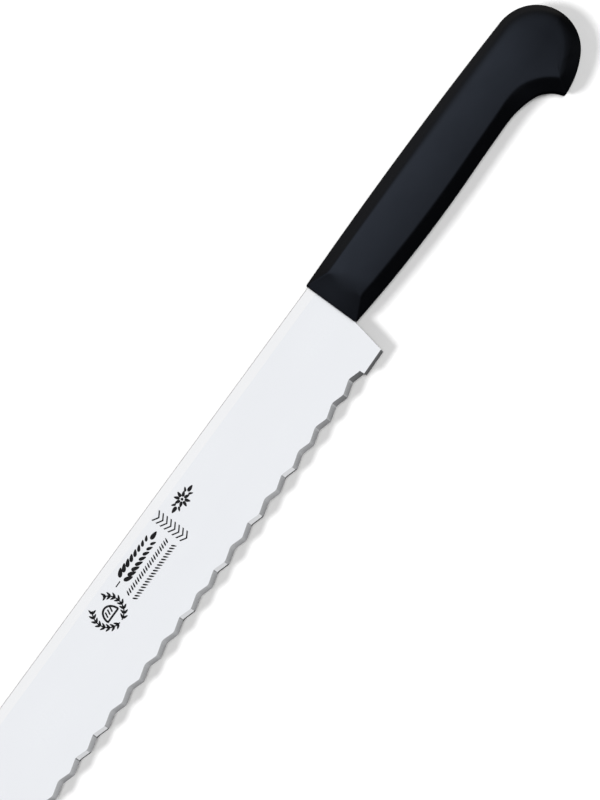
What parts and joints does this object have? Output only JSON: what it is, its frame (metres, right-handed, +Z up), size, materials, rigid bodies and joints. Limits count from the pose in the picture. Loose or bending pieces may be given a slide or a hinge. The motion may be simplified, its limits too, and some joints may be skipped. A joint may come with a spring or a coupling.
{
  "type": "bread knife",
  "caption": "Long bakery bread knife: straight-spined steel blade with a scalloped edge ground on one face, and a black moulded handle with flat facets and a hooked butt.",
  "frame": {"origin": "centre of the bounding box's base: the knife lies on its side on the handle's lower flat facet, and the origin is on that surface, midway along the knife's length and width", "axes": "+X along the knife from the tip to the butt, +Y across the blade from the cutting edge to the spine, +Z up, out of the blade face that carries the ground serration"},
  "size_m": [0.435, 0.0382, 0.018],
  "materials": {
    "blade_steel": "fine satin ground stainless steel",
    "handle_plastic": "satin moulded black plastic"
  },
  "bodies": {
    "root": {"blade_with_tang": "blade_steel", "moulded_handle": "handle_plastic"}
  },
  "joints": []
}
